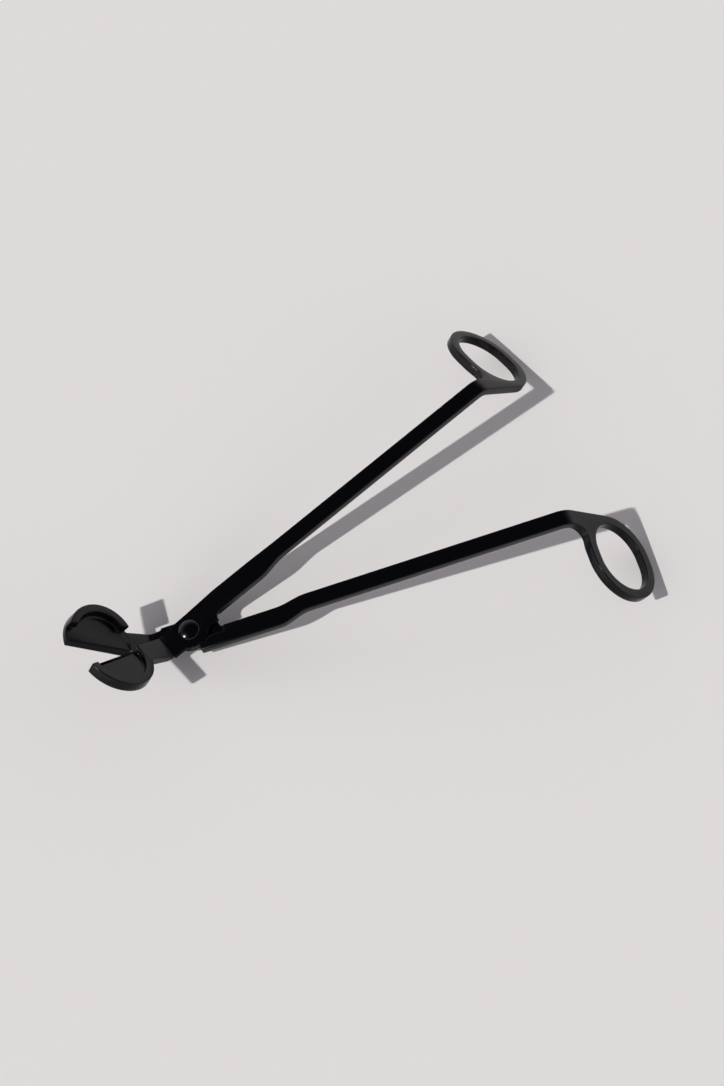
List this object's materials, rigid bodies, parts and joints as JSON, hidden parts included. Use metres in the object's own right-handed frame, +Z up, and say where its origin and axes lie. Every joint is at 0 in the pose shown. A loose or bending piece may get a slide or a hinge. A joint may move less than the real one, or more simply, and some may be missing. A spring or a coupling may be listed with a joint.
{
  "type": "wick trimmer",
  "caption": "Long scissor-like candle wick trimmer with a half-round tray blade and a bent-down finger ring on each crossed steel half, turning on one domed rivet.",
  "frame": {"origin": "on the table, at the middle of the trimmer's length and width as it rests half open", "axes": "+X towards the finger rings, +Y towards the upper half's finger ring, +Z up from the table"},
  "size_m": [0.1801, 0.1154, 0.0237],
  "materials": {
    "black_coated_steel": "satin black coating on forged steel",
    "black_rivet": "smooth semi-gloss black coating on a domed steel rivet"
  },
  "bodies": {
    "lower_body": {"lower_half": "black_coated_steel", "pivot_rivet": "black_rivet"},
    "upper_body": {"upper_half": "black_coated_steel"}
  },
  "joints": [
    {"name": "open_close", "type": "hinge", "parent": "lower_body", "child": "upper_body", "pos_m": [-0.05231, 0, 0.00367], "axis": [-0.1553, 0, 0.9879], "range_deg": [-23.4, 20]}
  ]
}
